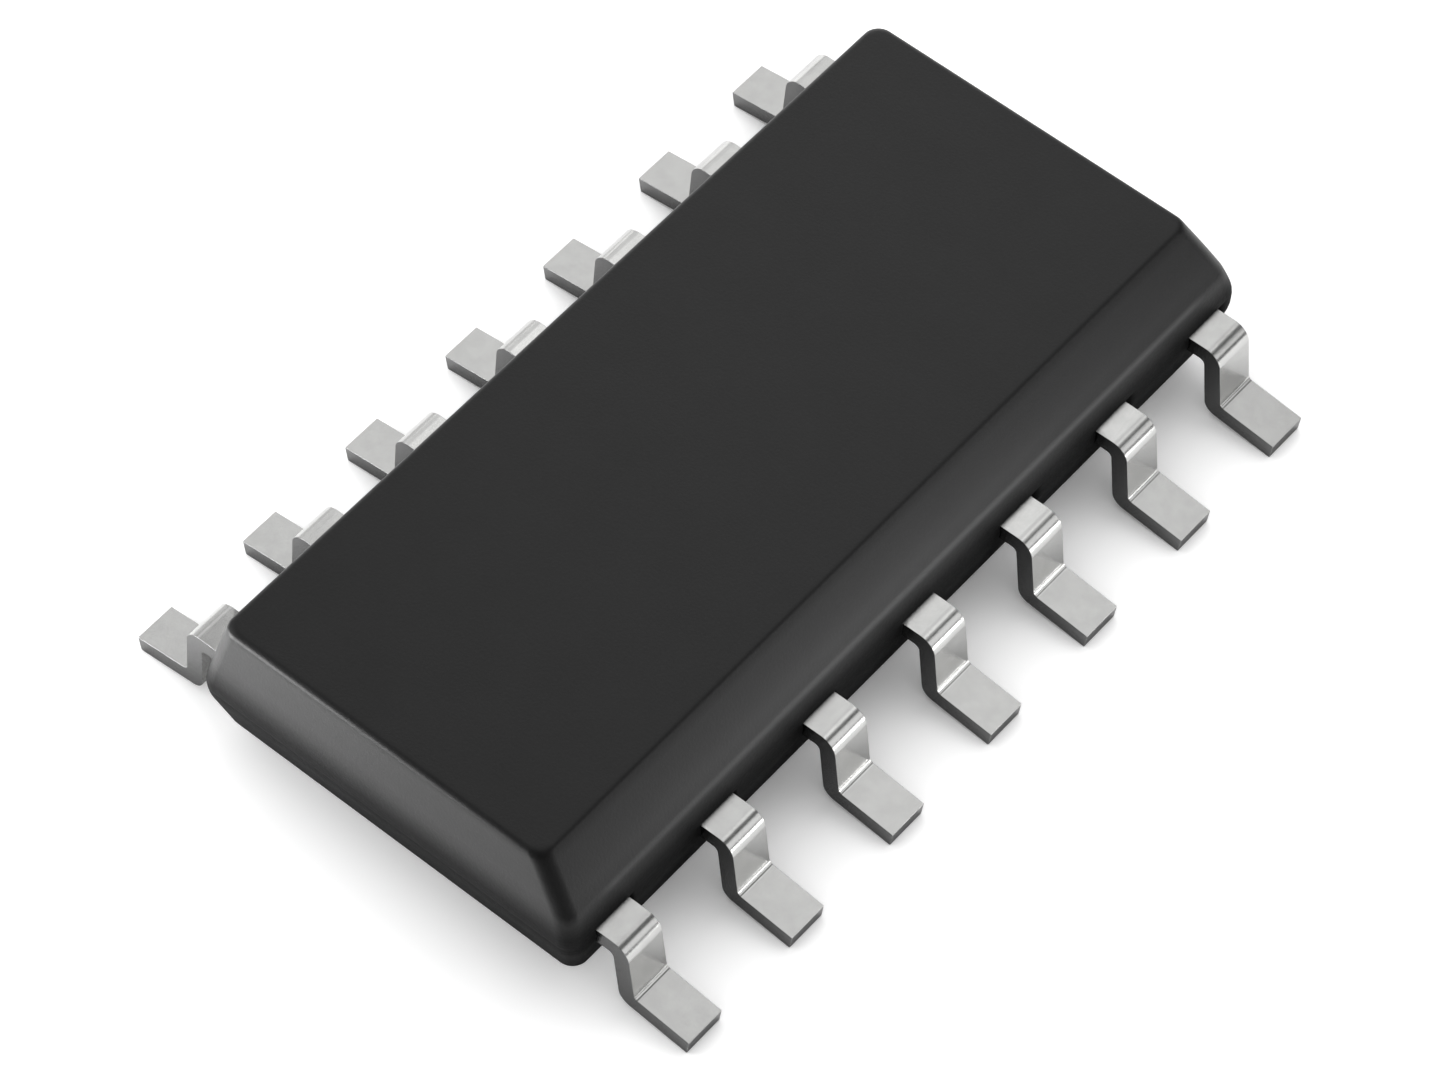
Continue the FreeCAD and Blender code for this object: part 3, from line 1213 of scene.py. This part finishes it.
@dataclass(frozen=True)
class Studio:
    """The floor, the lamps, the world's dim light and the camera."""

    floor_size: float = 400.0
    floor_cells: int = 8
    floor_colour: Colour = (0.93, 0.93, 0.93)
    floor_roughness: float = 0.9
    floor_glow: float = 1.0
    mirrored_glow: float = 0.7
    contact_reach: float = 1.2
    contact_samples: int = 2
    contact_depth: float = 1.0
    mirrored_depth: float = 3.0
    shade_depth: float = 2.5
    world_strength: float = 0.05
    sky_white: float = 1.0
    mirrored_sky: float = 0.1
    azimuth: float = 40.4587
    elevation: float = 55.0649
    roll: float = -0.1746
    distance: float = 48.9156
    aim_right: float = -0.0613
    aim_up: float = -0.0206
    lens: float = 145.289
    sensor: float = 36.0
    nearest: float = 1.0
    farthest: float = 10000.0

    def build(self) -> None:
        """Makes everything round the object."""
        scene = bpy.context.scene
        scene.view_settings.view_transform = "Standard"
        self._floor()
        self._world(scene)
        self._camera(scene)
        for lamp in LAMPS:
            lamp.build()

    def _floor(self) -> None:
        """A wide pale floor on the seating plane."""
        mesh = bmesh.new()
        bmesh.ops.create_grid(mesh, x_segments=self.floor_cells, y_segments=self.floor_cells,
                              size=self.floor_size / 2 * MM)
        floor = mesh_object("floor", mesh)
        material = bpy.data.materials.new("pale_floor")
        material.use_nodes = True
        tree = material.node_tree
        feed(tree, tree.nodes["Principled BSDF"],
             {"Roughness": self.floor_roughness, "Specular IOR Level": 0.0, **self._glow(tree)})
        floor.data.materials.append(material)

    def _glow(self, tree: NodeTree) -> Links:
        """White for the camera and in reflections, with a painted contact shadow that darkens it
        where the object is close, more so in reflections.

        Args:
            tree: The floor material's tree.

        Returns:
            What its shader's inputs get.
        """
        # Painted contact shadow: occlusion near the object darkens the floor's glow, and in
        # reflections its colour too.
        open_sky = add_node(tree, "ShaderNodeAmbientOcclusion",
                            {"Distance": self.contact_reach * MM}, samples=self.contact_samples)
        depth = by_ray(tree, self.contact_depth, self.mirrored_depth, 1.0)
        clear = computed(tree, "POWER", open_sky.outputs["AO"], depth)
        white = by_ray(tree, self.floor_glow, self.mirrored_glow, 0.0)
        dimming = by_ray(tree, 0.0, self.shade_depth, 0.0)
        shade = computed(tree, "POWER", open_sky.outputs["AO"], dimming)
        colour = add_node(tree, "ShaderNodeMixRGB", {"Fac": shade, "Color1": (0, 0, 0, 1),
                                                     "Color2": (*self.floor_colour, 1)})
        return {"Base Color": colour.outputs[0], "Emission Color": (1, 1, 1, 1),
                "Emission Strength": computed(tree, "MULTIPLY", clear, white)}

    def _world(self, scene: Scene) -> None:
        """A plain surround, white to the camera and dim as a light.

        Args:
            scene: The scene.
        """
        world = bpy.data.worlds.new("surround")
        world.use_nodes = True
        tree = world.node_tree
        strength = by_ray(tree, self.sky_white, self.mirrored_sky, self.world_strength)
        feed(tree, tree.nodes["Background"], {"Color": (1, 1, 1, 1), "Strength": strength})
        scene.world = world

    def _camera(self, scene: Scene) -> None:
        """The camera, at the photograph's angle.

        Args:
            scene: The scene.
        """
        turn, rise, tilt = (math.radians(angle)
                            for angle in (self.azimuth, self.elevation, self.roll))
        right = Vector((math.cos(turn), math.sin(turn), 0))
        back = Vector((math.sin(turn) * math.cos(rise), -math.cos(turn) * math.cos(rise),
                       math.sin(rise)))
        up = back.cross(right)
        right, up = (right * math.cos(tilt) + up * math.sin(tilt),
                     up * math.cos(tilt) - right * math.sin(tilt))
        data = bpy.data.cameras.new("camera")
        data.lens, data.sensor_width = self.lens, self.sensor
        data.clip_start, data.clip_end = self.nearest * MM, self.farthest * MM
        camera = link(bpy.data.objects.new("camera", data))
        turned = Matrix((right, up, back)).transposed().to_4x4()
        place = right * self.aim_right + up * self.aim_up + back * self.distance
        camera.matrix_world = Matrix.Translation(place * MM) @ turned
        scene.camera = camera


# Each lamp's azimuth, elevation, distance, width, height and radiance.
LAMPS = (
    Softbox("back_low", -38.0, 12.0, 30.0, 26.0, 12.0, 1.2),
    Softbox("back_middle", -35.0, 42.0, 30.0, 38.0, 16.0, 0.72),
    Softbox("back_top", -15.0, 66.0, 30.0, 26.0, 13.0, 0.7),
    Softbox("top_right", 32.0, 60.0, 30.0, 9.0, 12.0, 0.45),
    Softbox("overhead", 45.0, 90.0, 30.0, 20.0, 14.0, 0.4),
    Softbox("left_low", -74.0, 14.0, 30.0, 13.0, 14.0, 0.6),
    Softbox("right_low", 70.0, 1.0, 14.0, 6.0, 3.0, 6.0),
    Softbox("right_middle", 66.0, 30.0, 30.0, 17.0, 15.0, 0.85),
    Softbox("front_left", 215.0, 7.0, 13.0, 7.0, 4.0, 14.0),
    Softbox("left_fill", 250.0, 45.0, 30.0, 14.0, 14.0, 0.7),
)


def dress(node: str, material: Material) -> None:
    """Gives a CAD node that stays as it is its material.

    Args:
        node: The node's name.
        material: The material.
    """
    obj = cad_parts[node]
    wear(obj, material)
    log.info("%s wears %s", node, material.name)


def main() -> None:
    """Builds the piece classes in order and then the studio."""
    logging.basicConfig(level=logging.INFO, format="%(message)s")
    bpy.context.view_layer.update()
    grain = grain_group()
    compound, tin, copper, glue, silicon, gold = (
        finish.material(grain) for finish in (COMPOUND, TIN, COPPER, GLUE, SILICON, GOLD))

    leads = Leads().build(tin)
    hand_over(leads, numbered("pin"))
    wires = BondWires().build(gold)
    hand_over(wires, numbered("bond_wire"))
    chip = [merged_copy(f"{node}_room", [node])
            for node in ("die_pad", "die_attach", "silicon_die")]
    body = MouldedBody().build([leads, wires, *chip])
    for room in chip:
        bpy.data.objects.remove(room)
    wear(body, compound)
    hand_over(body, ["moulded_body"])
    dress("die_pad", copper)
    dress("die_attach", glue)
    dress("silicon_die", silicon)

    Studio().build()


if __name__ == "__main__":
    main()
